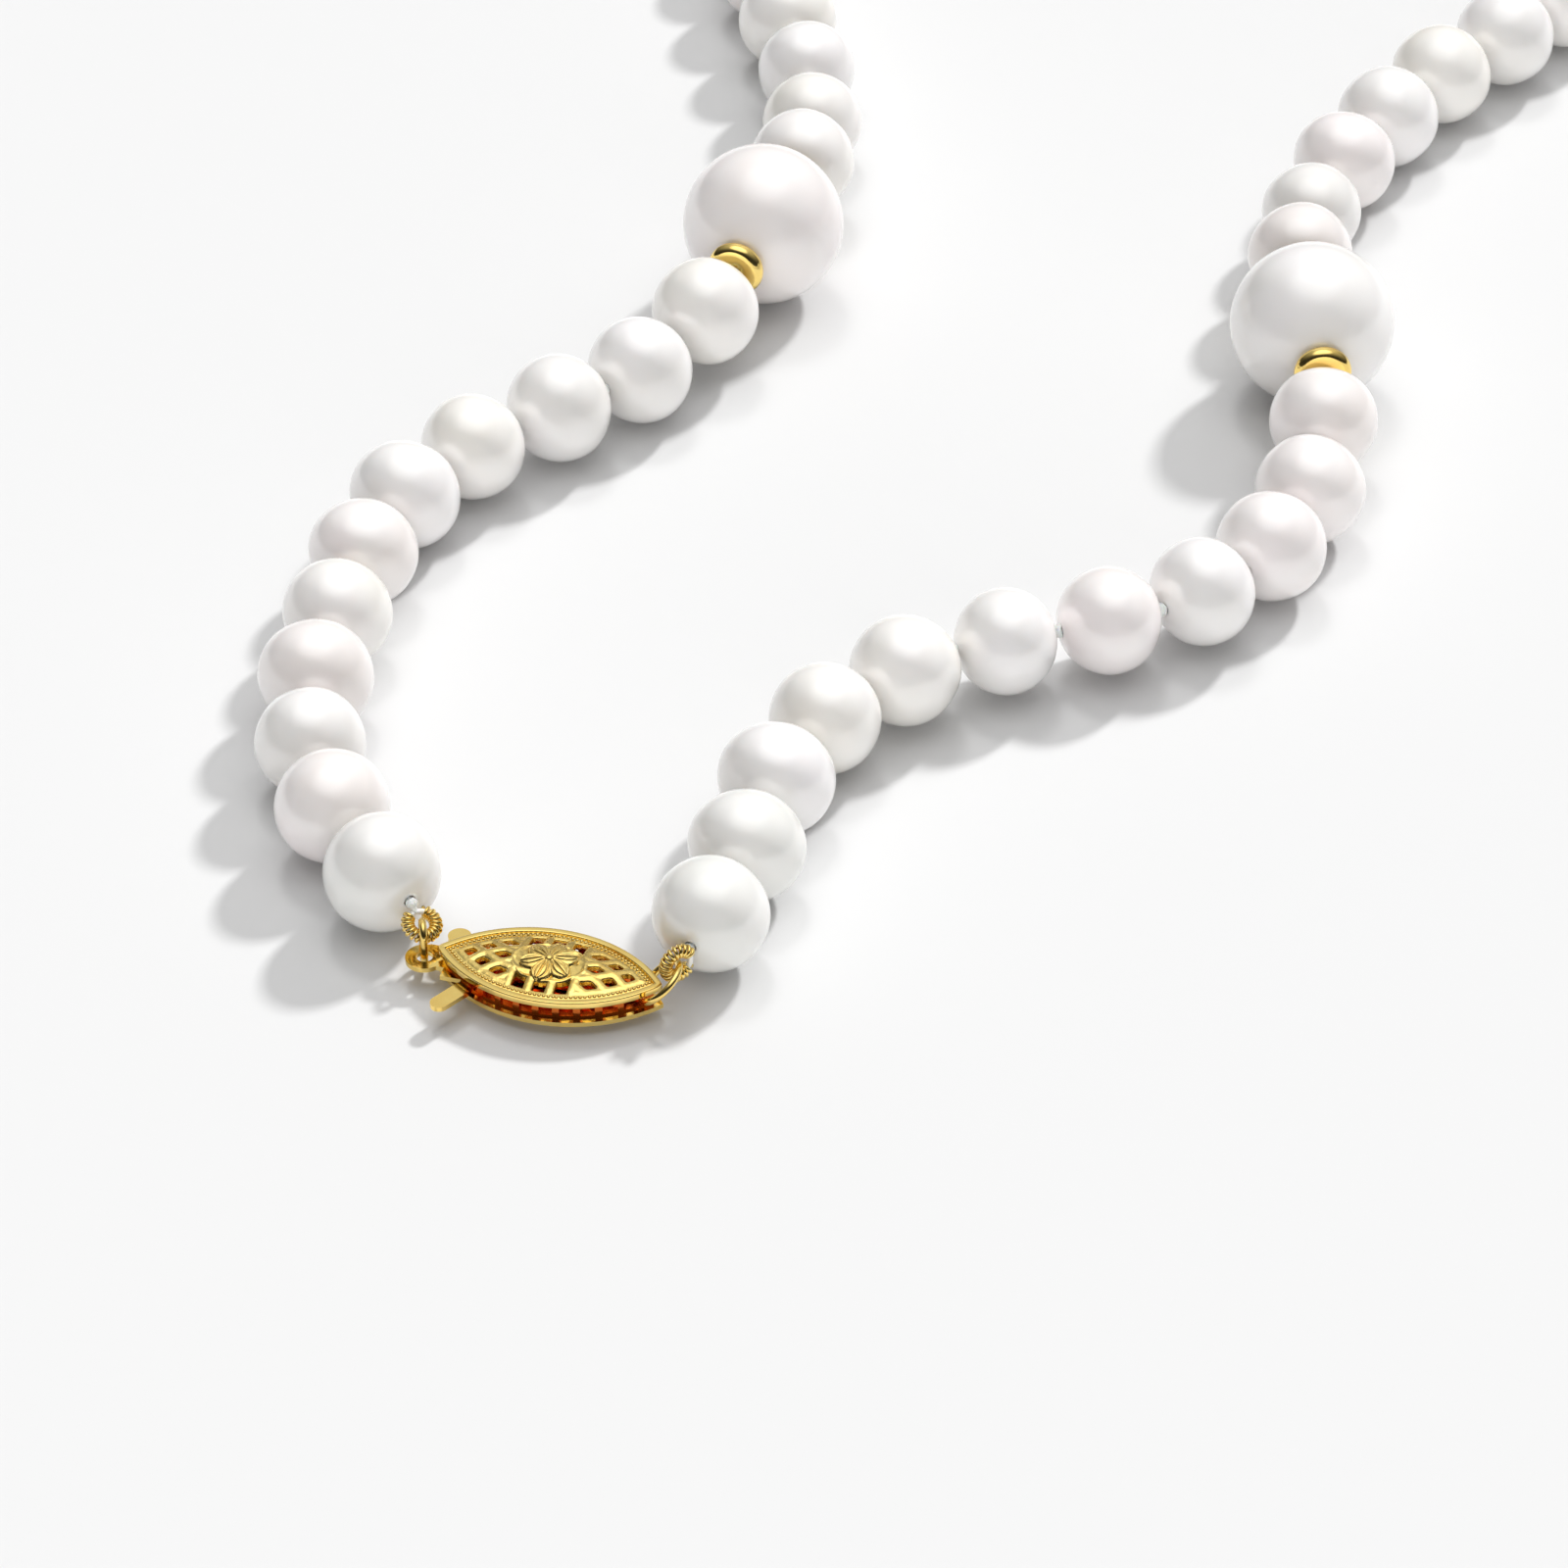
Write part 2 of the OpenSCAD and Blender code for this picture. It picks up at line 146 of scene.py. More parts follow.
# ---------------------------------------------------------------- mesh helpers
def make(name, verts, faces, mat, body, node, slot):
    """A smooth mesh from millimetre points, riding a body and standing for a CAD node."""
    me = bpy.data.meshes.new(name)
    me.from_pydata([tuple(float(c) * MM for c in v) for v in verts], [], faces)
    me.update()
    me.polygons.foreach_set("use_smooth", [True] * len(me.polygons))
    me.materials.append(mat)
    o = bpy.data.objects.new(name, me)
    bpy.context.scene.collection.objects.link(o)
    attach(o, body)
    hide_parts(node)


class Build:
    """Collects several closed pieces into one mesh."""

    def __init__(self):
        self.v, self.f = [], []

    def add(self, verts, faces):
        n = len(self.v)
        self.v.extend(verts)
        self.f.extend([tuple(i + n for i in f) for f in faces])


def frame_of(axis):
    """The axis as a unit vector, and two more that are square to it."""
    a = Vector(axis).normalized()
    u = a.cross(Vector((0, 0, 1)) if abs(a.z) < 0.95 else Vector((0, 1, 0))).normalized()
    return a, u, a.cross(u)


def lathe(profile, seg, centre, axis, bend=None, closed=True):
    """Turns a profile of (r, z) about the axis through the centre.

    bend(r, z, angle) scales a point about the centre; an open profile gets flat ends.
    """
    a, u, w = frame_of(axis)
    verts, faces = [], []
    n = len(profile)
    for j in range(seg):
        t = TAU * j / seg
        out = u * math.cos(t) + w * math.sin(t)
        for r, z in profile:
            k = bend(r, z, t) if bend else 1
            verts.append(Vector(centre) + a * (z * k) + out * (r * k))
    m = n if closed else n - 1
    for j in range(seg):
        for i in range(m):
            i2, j2 = (i + 1) % n, (j + 1) % seg
            faces.append((j * n + i, j2 * n + i, j2 * n + i2, j * n + i2))
    if not closed:
        faces.append(tuple(j * n for j in range(seg))[::-1])
        faces.append(tuple(j * n + n - 1 for j in range(seg)))
    return verts, faces


def sweep(path, section, up=(0, 0, 1), ring=False, twist=0.0):
    """Carries a closed section of (side, up) pairs along a path.

    An open path gets flat ends; twist turns the section a little more at each point.
    """
    n, m = len(path), len(section)
    up = Vector(up)
    verts, faces = [], []
    for i, p in enumerate(path):
        a = path[(i + 1) % n] if ring or i < n - 1 else path[i]
        b = path[i - 1] if ring or i > 0 else path[i]
        t = (a - b).normalized()
        s = t.cross(up)
        s = s.normalized() if s.length > 1e-6 else Vector((1, 0, 0))
        v = s.cross(t)
        c, d = math.cos(twist * i), math.sin(twist * i)
        for x, y in section:
            verts.append(p + s * (x * c - y * d) + v * (x * d + y * c))
    for i in range(n if ring else n - 1):
        for j in range(m):
            i2, j2 = (i + 1) % n, (j + 1) % m
            faces.append((i * m + j, i * m + j2, i2 * m + j2, i2 * m + j))
    if not ring:
        faces.append(tuple(range(m))[::-1])
        faces.append(tuple((n - 1) * m + j for j in range(m)))
    return verts, faces


def carried(path, section):
    """Like sweep, but the section turns as little as possible along a path in space."""
    n, m = len(path), len(section)
    verts, faces = [], []
    _, s, _ = frame_of(path[1] - path[0])
    for i, p in enumerate(path):
        t = (path[min(i + 1, n - 1)] - path[max(i - 1, 0)]).normalized()
        s = (s - t * s.dot(t)).normalized()
        v = t.cross(s)
        for x, y in section:
            verts.append(p + s * x + v * y)
    for i in range(n - 1):
        for j in range(m):
            faces.append((i * m + j, i * m + (j + 1) % m, (i + 1) * m + (j + 1) % m,
                          (i + 1) * m + j))
    faces.append(tuple(range(m))[::-1])
    faces.append(tuple((n - 1) * m + j for j in range(m)))
    return verts, faces


def circle(r, n):
    return [(r * math.cos(TAU * k / n), r * math.sin(TAU * k / n)) for k in range(n)]


def hoop(centre, e1, e2, r, n):
    """A closed round path in the plane of two unit vectors."""
    return [centre + (e1 * math.cos(TAU * k / n) + e2 * math.sin(TAU * k / n)) * r
            for k in range(n)]


def half_round(r, rings, flat, tip=1e-4):
    """The profile of a ball that is flat times as long as it is thick."""
    return [(max(r * math.sin(math.pi * k / rings), tip), flat * r * math.cos(math.pi * k / rings))
            for k in range(rings + 1)]


def ball(centre, r, seg, rings, flat):
    return lathe(half_round(r, rings, flat), seg, centre, (0, 0, 1), closed=False)


# ---------------------------------------------------------------- materials
def material(name, **sockets):
    """A new material, its node tree and its shader, with the named sockets set."""
    m = bpy.data.materials.new(name)
    m.use_nodes = True
    b = m.node_tree.nodes["Principled BSDF"]
    for k, v in sockets.items():
        b.inputs[k.replace("_", " ")].default_value = v
    return m, m.node_tree, b


def add(tree, kind, **values):
    """A new node; each value sets a property of that name, or else a socket."""
    n = tree.nodes.new(kind)
    for k, v in values.items():
        if hasattr(n, k):
            setattr(n, k, v)
        else:
            n.inputs[k.replace("_", " ")].default_value = v
    return n


def ramp(tree, fac, *stops):
    """A colour ramp of (position, colour) stops; a single number stands for a grey."""
    r = tree.nodes.new("ShaderNodeValToRGB")
    while len(r.color_ramp.elements) < len(stops):
        r.color_ramp.elements.new(0.5)
    for e, (pos, col) in zip(r.color_ramp.elements, stops):
        e.position = pos
        e.color = (*col, 1) if isinstance(col, tuple) else (col, col, col, 1)
    tree.links.new(fac, r.inputs["Fac"])
    return r


def nacre(name, a, b, c, seed):
    """Nacre: clouds of the three tints, a satin depth and a glossy skin."""
    m, t, s = material(name, Roughness=0.34, Coat_Weight=1.0, Coat_Roughness=0.16, Coat_IOR=1.65,
                       Subsurface_Weight=0.15, Subsurface_Scale=0.0012)
    s.inputs["Subsurface Radius"].default_value = (1.0, 0.85, 0.75)
    s.inputs["Specular IOR Level"].default_value = 1.0
    s.inputs["IOR"].default_value = 1.6
    co = add(t, "ShaderNodeTexCoord")
    mp = add(t, "ShaderNodeMapping")
    mp.inputs["Location"].default_value = (seed * 0.031, seed * 0.017, seed * 0.023)
    t.links.new(co.outputs["Object"], mp.inputs["Vector"])
    n = add(t, "ShaderNodeTexNoise", Scale=120.0, Detail=2.0, Roughness=0.45)
    t.links.new(mp.outputs["Vector"], n.inputs["Vector"])
    r = ramp(t, n.outputs["Fac"], (0.35, a), (0.5, b), (0.65, c))
    t.links.new(r.outputs["Color"], s.inputs["Base Color"])
    fine = add(t, "ShaderNodeTexNoise", Scale=420.0, Detail=2.0, Roughness=0.5)
    t.links.new(mp.outputs["Vector"], fine.inputs["Vector"])
    rr = ramp(t, fine.outputs["Fac"], (0.3, 0.3), (0.7, 0.38))
    t.links.new(rr.outputs["Color"], s.inputs["Roughness"])
    wide = add(t, "ShaderNodeTexNoise", Scale=200.0, Detail=1.0, Roughness=0.4)
    t.links.new(mp.outputs["Vector"], wide.inputs["Vector"])
    bump = add(t, "ShaderNodeBump", Strength=0.05, Distance=0.0002)
    t.links.new(wide.outputs["Fac"], bump.inputs["Height"])
    t.links.new(bump.outputs["Normal"], s.inputs["Normal"])
    return m


NACRE = [
    nacre("nacre_white", (0.88, 0.86, 0.83), (0.92, 0.90, 0.885), (0.94, 0.91, 0.91), 1),
    nacre("nacre_rose", (0.91, 0.855, 0.83), (0.935, 0.89, 0.875), (0.945, 0.875, 0.87), 2),
    nacre("nacre_cream", (0.90, 0.87, 0.81), (0.93, 0.905, 0.865), (0.94, 0.91, 0.89), 3),
    nacre("nacre_silver", (0.82, 0.82, 0.78), (0.87, 0.865, 0.83), (0.90, 0.885, 0.86), 4),
]


def gold(name, base, rough, scratch=0.10, grain=0.0):
    """Polished plate with hair scratches; grain adds the stippled ground of the plates."""
    m, t, s = material(name, Metallic=1.0, Roughness=rough)
    co = add(t, "ShaderNodeTexCoord")
    n = add(t, "ShaderNodeTexNoise", Scale=420.0, Detail=3.0, Roughness=0.55)
    t.links.new(co.outputs["Object"], n.inputs["Vector"])
    worn = tuple(c * k for c, k in zip(base, (0.95, 0.86, 0.74)))
    r = ramp(t, n.outputs["Fac"], (0.3, worn), (0.65, base))
    t.links.new(r.outputs["Color"], s.inputs["Base Color"])
    rr = ramp(t, n.outputs["Fac"], (0.3, rough * 1.5), (0.7, rough * 0.8))
    t.links.new(rr.outputs["Color"], s.inputs["Roughness"])
    hair = add(t, "ShaderNodeTexNoise", Scale=2600.0, Detail=2.0, Roughness=0.5)
    mp = add(t, "ShaderNodeMapping")
    mp.inputs["Scale"].default_value = (0.15, 1.0, 1.0)
    t.links.new(co.outputs["Object"], mp.inputs["Vector"])
    t.links.new(mp.outputs["Vector"], hair.inputs["Vector"])
    bump = add(t, "ShaderNodeBump", Strength=scratch, Distance=0.00002)
    t.links.new(hair.outputs["Fac"], bump.inputs["Height"])
    last = bump
    if grain:
        v = add(t, "ShaderNodeTexVoronoi", Scale=grain)
        t.links.new(co.outputs["Object"], v.inputs["Vector"])
        b2 = add(t, "ShaderNodeBump", Strength=0.35, Distance=0.00004)
        t.links.new(v.outputs["Distance"], b2.inputs["Height"])
        t.links.new(bump.outputs["Normal"], b2.inputs["Normal"])
        last = b2
    t.links.new(last.outputs["Normal"], s.inputs["Normal"])
    return m


GOLD_TINT = (1.0, 0.76, 0.25)
POLISH = 0.12
GOLD = gold("gold_polished", GOLD_TINT, POLISH)
GOLD_STIPPLED = gold("gold_stippled", GOLD_TINT, 0.17, grain=3600.0)
# Painted shade: a deep red-orange gold that stands for the shaded inter-reflection inside the
# case.
GOLD_PAINTED_CASE_SHADE = gold("gold_painted_case_shade", (0.90, 0.22, 0.04), 0.2)


def paint_case_shade(m, build, shade_colour):
    """Paints shade into the gold: a deep red shade colour where build(tree, coordinates) says it
    is in the case.
    """
    t = m.node_tree
    s = t.nodes["Principled BSDF"]
    was = s.inputs["Base Color"].links[0].from_socket
    mix = add(t, "ShaderNodeMix", data_type="RGBA")
    t.links.new(build(t, add(t, "ShaderNodeTexCoord")), mix.inputs[0])
    t.links.new(was, mix.inputs[6])
    mix.inputs[7].default_value = (*shade_colour, 1)
    t.links.new(mix.outputs[2], s.inputs["Base Color"])
    return m


def chain(t, first, *steps):
    """Math nodes one after another, each with its second value."""
    for kind, value in steps:
        n = add(t, "ShaderNodeMath", operation=kind)
        t.links.new(first, n.inputs[0])
        n.inputs[1].default_value = value
        first = n.outputs[0]
    return first


FADE = 8000                 # a mask goes from 0 to 1 in 1/8000 m
MOUTH_X = -4.4              # in mm, where the hook's strip goes into the case
FLOOR_IN = 0.45             # how far in from the outline the bottom plate's floor starts


def hook_in_case_shade_mask(t, co):
    """Mask of the painted shade: the part of the hook past the case's mouth."""
    sep = add(t, "ShaderNodeSeparateXYZ")
    t.links.new(co.outputs["Object"], sep.inputs[0])
    return chain(t, sep.outputs["X"], ("ADD", -MOUTH_X * MM), ("MULTIPLY", FADE),
                 ("MAXIMUM", 0), ("MINIMUM", 1))


def floor_in_case_shade_mask(t, co):
    """Mask of the painted shade: the bottom plate's upper face, in from its rim."""
    sep, com = add(t, "ShaderNodeSeparateXYZ"), add(t, "ShaderNodeCombineXYZ")
    t.links.new(co.outputs["Object"], sep.inputs[0])
    t.links.new(sep.outputs["X"], com.inputs["X"])
    t.links.new(chain(t, sep.outputs["Y"], ("ABSOLUTE", 0), ("ADD", ARC_C * MM)), com.inputs["Y"])
    size = add(t, "ShaderNodeVectorMath", operation="LENGTH")
    t.links.new(com.outputs[0], size.inputs[0])
    near = chain(t, size.outputs["Value"], ("MULTIPLY", -FADE),
                 ("ADD", FADE * MM * (ARC_R - FLOOR_IN)), ("MAXIMUM", 0), ("MINIMUM", 1))
    up = add(t, "ShaderNodeSeparateXYZ")
    t.links.new(co.outputs["Normal"], up.inputs[0])
    both = add(t, "ShaderNodeMath", operation="MULTIPLY")
    t.links.new(near, both.inputs[0])
    t.links.new(chain(t, up.outputs["Z"], ("GREATER_THAN", 0.3)), both.inputs[1])
    return both.outputs[0]


def silk(name):
    """White silk with the fine slant of its twist."""
    m, t, s = material(name, Roughness=0.62, Sheen_Weight=0.5, Sheen_Roughness=0.4,
                       Subsurface_Weight=0.15, Subsurface_Scale=0.0004)
    co = add(t, "ShaderNodeTexCoord")
    n = add(t, "ShaderNodeTexNoise", Scale=3000.0, Detail=4.0, Roughness=0.7)
    t.links.new(co.outputs["Object"], n.inputs["Vector"])
    r = ramp(t, n.outputs["Fac"], (0.3, (0.90, 0.885, 0.85)), (0.7, (0.97, 0.965, 0.945)))
    t.links.new(r.outputs["Color"], s.inputs["Base Color"])
    w = add(t, "ShaderNodeTexWave", Scale=1500.0, Distortion=2.0, Detail=2.0)
    t.links.new(co.outputs["Object"], w.inputs["Vector"])
    bump = add(t, "ShaderNodeBump", Strength=0.5, Distance=0.00005)
    t.links.new(w.outputs["Fac"], bump.inputs["Height"])
    t.links.new(bump.outputs["Normal"], s.inputs["Normal"])
    return m


SILK = silk("silk")


# ---------------------------------------------------------------- pearls
BORE, LIP = 0.36, 0.07      # the drilled hole's radius and the width of its worn edge
LIP_DEEP, LIP_MID = 0.09, 0.035


def pearl_profile(d, l):
    """Half a pearl's section: a round flank of the pearl's length, and the drilled hole."""
    off = (d - l) / 2
    end = math.pi / 2
    if BORE + LIP > off:
        end = math.acos(max(-1, min(1, (BORE + LIP - off) / (l / 2))))
    steps, inner = 44, 6
    prof = [(BORE, l / 2 - LIP_DEEP), (BORE + 0.02, l / 2 - LIP_MID)]
    for k in range(steps + 1):
        a = end - 2 * end * k / steps
        prof.append((off + l / 2 * math.cos(a), l / 2 * math.sin(a)))
    prof += [(BORE + 0.02, LIP_MID - l / 2), (BORE, LIP_DEEP - l / 2)]
    for k in range(1, inner):
        prof.append((BORE, -l / 2 + LIP_DEEP + (l - 2 * LIP_DEEP) * k / inner))
    return prof


def pearl(s, i):
    """One pearl: the drilled, slightly flattened ball with its own small unevenness."""
    d, l = size_of(s, i)
    p, q = KNOTS[s][i], KNOTS[s][i + 1]
    ph = rng.uniform(0, TAU, 6)
    am = rng.uniform(-1, 1, 6) * (0.005 if i == BIG_AT else 0.014)

    def bend(r, z, t):
        if r < BORE + 0.05:
            return 1
        x, y, w = r * math.cos(t) / d * 2, r * math.sin(t) / d * 2, z / d * 2
        e = (am[0] * math.sin(2.1 * x + ph[0]) + am[1] * math.sin(2.4 * y + ph[1])
             + am[2] * math.sin(2.7 * w + ph[2])
             + 0.5 * am[3] * math.sin(4.2 * x + 3.1 * w + ph[3])
             + 0.5 * am[4] * math.sin(4.6 * y - 3.4 * w + ph[4]) + am[5] * x * y)
        return 1 + e * min(1, (r - BORE) / 1.2)

    v, f = lathe(pearl_profile(d, l), 72, (p + q) / 2, q - p, bend)
    g = [n for n, (a, b) in enumerate(GROUPS) if a <= i <= b][0] + 1
    node = "large_pearl_" + SIDE[s] if i == BIG_AT else f"pearls_{SIDE[s]}_{g:02d}"
    # The three pearls by the clasp are silvery, and the large ones rose and white.
    tint = NACRE[3] if i == 0 or (s == 1 and i == 1) else NACRE[int(rng.integers(0, 3))]
    if i == BIG_AT:
        tint = NACRE[1 - s]
    make(f"pearl_{SIDE[s]}_{i + 1:02d}", v, f, tint, f"strand_{SIDE[s]}_{g:02d}", node, "pearl")


for side in (0, 1):
    for index in range(PER_SIDE):
        pearl(side, index)


# ---------------------------------------------------------------- silk
SILK_R, NECK_R, LOOP_R = 0.25, 0.2, 0.17
KNOT_R, END_KNOT_R, FIRST_KNOT_R = 0.42, 0.27, 0.3
CLEAR = 0.5                 # bare length that a thread leaves to the knot of the one before


def strand_section(r, n=21, lobes=3, depth=0.12):
    """The section of a thread of three plies."""
    out = []
    for k in range(n):
        k_r = r * (1 - depth + depth * math.cos(lobes * TAU * k / n))
        out.append((k_r * math.cos(TAU * k / n), k_r * math.sin(TAU * k / n)))
    return out


def twisted(p, q, r, step=0.12, rate=0.35):
    """A straight length of twisted thread."""
    n = max(2, int((q - p).length / step))
    return sweep([p.lerp(q, k / n) for k in range(n + 1)], strand_section(r), twist=rate)


def knot_ball(b, centre, axis, r):
    """An overhand knot pulled tight: a body of slanting wraps with two crossing turns."""
    ph = rng.uniform(0, 6)
    v, f = lathe(half_round(r, 14, 0.92, 1e-3), 28, centre, axis,
                 lambda rr, z, t: 1 + 0.07 * math.sin(4 * t + 7 * z / r + ph), closed=False)
    b.add(v, f)
    a, u, w = frame_of(axis)
    for tilt, at in ((0.5, 0.0), (-0.45, 0.06)):
        path = []
        for k in range(24):
            t = TAU * k / 24
            path.append(centre + (u * math.cos(t) + w * math.sin(t)) * (r * 0.93)
                        + a * (r * tilt * math.cos(t + ph) + at))
        b.add(*sweep(path, circle(r * 0.2, 8), up=a, ring=True))


# Each coil's middle and two directions in its plane, the first towards its pearl.
COILS = [(COIL_L, way(WAY[0][0]) * math.cos(LIFT) + Vector((0, 0, math.sin(LIFT))),
          way(WAY[0][0] + 90)),
         (COIL_RT, way(COIL_RT_WAY), Vector((0, 0, 1)))]


def thread(s, g):
    """The silk of one group, with the knot after each pearl."""
    first, last = GROUPS[g]
    b = Build()
    for i in range(first, last + 1):
        p, q = KNOTS[s][i], KNOTS[s][i + 1]
        u = (q - p).normalized()
        # Both strands end at one knot, which the left strand's thread carries.
        shared = s == 1 and i == PER_SIDE - 1
        start = CLEAR if i == first and g > 0 else 0.0
        b.add(*twisted(p + u * start, q - u * (CLEAR if shared else 0.0), SILK_R))
        if not shared:
            knot_ball(b, q, q - p, KNOT_R if i < PER_SIDE - 1 else END_KNOT_R)
    if g == 0:
        # The loop inside the coiled wire and the neck that leads it into the first pearl.
        c, e1, e2 = COILS[s]
        knot, after = KNOTS[s][:2]
        b.add(*sweep(hoop(c, e1, e2, COIL_R, 48), circle(LOOP_R, 10), up=e1.cross(e2),
                     ring=True))
        b.add(*twisted(c + e1 * COIL_R, knot, NECK_R))
        knot_ball(b, knot, after - knot, FIRST_KNOT_R)
    name = f"silk_{SIDE[s]}_{g + 1:02d}"
    make(name + "_thread", b.v, b.f, SILK, f"strand_{SIDE[s]}_{g + 1:02d}", name, "silk")


for side in (0, 1):
    for group in range(len(GROUPS)):
        thread(side, group)


# ---------------------------------------------------------------- rondelles
def rondelle(s, end):
    """A flat-faced ring with a round flank, before or after the large pearl."""
    p, q = KNOTS[s][BIG_AT], KNOTS[s][BIG_AT + 1]
    if end:
        p, q = q, p
    u = (q - p).normalized()
    outer, half, hole, flank, face = 1.9, T_RON / 2, 0.46, 0.5, 0.62
    low = [(hole, -half + 0.06), (hole + 0.03, -half + 0.015), (hole + 0.08, -half),
           (outer - face, -half)]
    prof = list(low)
    n = 18
    for k in range(n + 1):
        a = -math.pi / 2 + math.pi * k / n
        prof.append((outer - flank + flank * math.cos(a), (half - 0.01) * math.sin(a)))
    prof += [(r, -z) for r, z in reversed(low)]
    v, f = lathe(prof, 72, p + u * (GAP / 2 + half), u)
    name = f"rondelle_{SIDE[s]}_{'outer' if end else 'inner'}"
    make(name + "_ring", v, f, GOLD, name, name, "gold")


for side in (0, 1):
    rondelle(side, 0)
    rondelle(side, 1)


# ---------------------------------------------------------------- coiled wire tubes
TURNS, TURN_R, FINE_WIRE_R = 17, 0.31, 0.115
COIL_HALF = math.radians(147)   # half of the angle that the coil covers round the loop


def bullion(s):
    """Fine wire wound round the silk loop, open where the two ends enter the pearl."""
    c, e1, e2 = COILS[s]
    axis = e1.cross(e2)
    path = []
    n = TURNS * 22
    for k in range(n + 1):
        a = math.pi - COIL_HALF + 2 * COIL_HALF * k / n
        b = TAU * TURNS * k / n
        out = e1 * math.cos(a) + e2 * math.sin(a)
        path.append(c + out * (COIL_R + TURN_R * math.cos(b)) + axis * (TURN_R * math.sin(b)))
    v, f = carried(path, circle(FINE_WIRE_R, 10))
    name = "bullion_" + SIDE[s]
    make(name + "_coil", v, f, GOLD, f"strand_{SIDE[s]}_01", name, "gold")


bullion(0)
bullion(1)

# ---------------------------------------------------------------- rings
LINK_LOW, LINK_HIGH, LINK_R = 1.2, 2.75, 0.75


def wire_ring(name, path, up, body, node):
    v, f = sweep(path, circle(WIRE_R, 16), up=up, ring=True)
    make(name, v, f, GOLD, body, node, "gold")


# The left ring is an upright oval: two half rounds one above the other.
link_e, oval = way(LINK_WAY), []
for z0, sign in ((LINK_HIGH, 1), (LINK_LOW, -1)):
    for k in range(25):
        a = math.pi * k / 24
        oval.append(Vector((EYE.x, EYE.y, z0))
                    + link_e * (LINK_R - sign * LINK_R * math.cos(a))
                    + Vector((0, 0, sign * LINK_R * math.sin(a))))
wire_ring("ring_left_wire", oval, link_e.cross(Vector((0, 0, 1))), "ring_left", "ring_left")

ring_side = way(RING_WAY + 90)
wire_ring("clasp_end_ring_wire", hoop(RING_MID, RING_E, ring_side, RING_R, 72),
          RING_E.cross(ring_side), "clasp_box", "clasp_end_ring")


# ---------------------------------------------------------------- clasp plates
def outline(inset, n=64):
    """The marquise outline, in from the edge, anticlockwise from the right tip."""
    r = ARC_R - inset
    half = math.acos(ARC_C / r)
    top = [Vector((r * math.sin(half - 2 * half * k / n), r * math.cos(half - 2 * half * k / n)
                   - ARC_C, 0)) for k in range(n + 1)]
    return top + [Vector((p.x, -p.y, 0)) for p in top[-2:0:-1]]


def rim(b, inset, z0, z1, width, soft=0.08):
    """A band with soft corners, from z0 to z1, that follows the outline from inset inwards."""
    sec = []
    hw, hh = width / 2, (z1 - z0) / 2
    for cx, cy, a0 in ((hw - soft, hh - soft, 0), (soft - hw, hh - soft, 90),
                       (soft - hw, soft - hh, 180), (hw - soft, soft - hh, 270)):
        for k in range(4):
            a = math.radians(a0 + 30 * k)
            sec.append((cx + soft * math.cos(a), cy + soft * math.sin(a)))
    path = [p + Vector((0, 0, (z0 + z1) / 2)) for p in outline(inset + hw, 80)]
    b.add(*sweep(path, sec, ring=True))


def beads(b, inset, z, r, pitch_mm):
    """The row of small beads inside the rim."""
    pts = outline(inset, 200)
    run, need = 0.0, 0.0
    for k in range(len(pts)):
        p, q = pts[k], pts[(k + 1) % len(pts)]
        if run >= need:
            b.add(*ball(p + Vector((0, 0, z)), r, 10, 7, 0.9))
            need += pitch_mm
        run += (q - p).length


RIM_WIDE = 0.42             # the outer rim's width, inside which the pierced plate lies
top = Build()
rim(top, 0.0, 2.0, 2.46, RIM_WIDE)
rim(top, 0.40, 2.02, 2.34, 0.5, 0.05)
beads(top, 0.64, 2.36, 0.125, 0.27)
make("top_plate_rim", top.v, top.f, GOLD, "clasp_box", "clasp_top_plate", "gold")


def smooth(v):
    """A soft step from 0 to 1."""
    v = np.clip(v, 0, 1)
    return v * v * (3 - 2 * v)


def petal(x, y, angle, length, width):
    """Relief of one petal, with a vein and two side grooves; zero outside it."""
    c, d = math.cos(math.radians(angle)), math.sin(math.radians(angle))
    u, w = (x * c + y * d) / length, np.abs(y * c - x * d)
    half = width * np.sin(np.pi * np.clip(u, 1e-3, 0.999) ** 1.5) ** 0.7 + 0.02
    k = np.clip(1 - (w / half) ** 2, 0, 1) * (u > 0.03) * (u < 1)
    vein = 0.12 * np.exp(-(w / 0.05) ** 2) + 0.08 * np.exp(-((w - 0.55 * half) / 0.05) ** 2)
    body = 0.08 + 0.26 * np.sqrt(k) * smooth(1.3 - 0.8 * u)
    return np.where(k > 0, body - vein * smooth(u * 3), 0)


PLATE_LOW, PLATE_TOP = 2.02, 2.32   # the pierced plate's underside and face at its rim
CROWN_IN, CROWN_RISE = 0.75, 0.42   # it swells by this much, from this far in
BAR, STEP, FIRST_BAR = 0.26, 1.15, 0.98     # half a bar's width, the bars' spacing, the first
CROSS, CROSS_HALF = 1.3, 1.95       # spacing of the straight bars, and half of their field
MEDAL = (2.3, 1.75)                 # the medallion's half length and half width
PETALS, PETAL_LONG, PETAL_HALF = 6, 1.75, 0.62
BEVEL = 0.08                        # a hole's rounded edge


def off_line(value, spacing):
    """How far a value is from the nearest multiple of the spacing."""
    return spacing * np.abs(value / spacing - np.round(value / spacing))


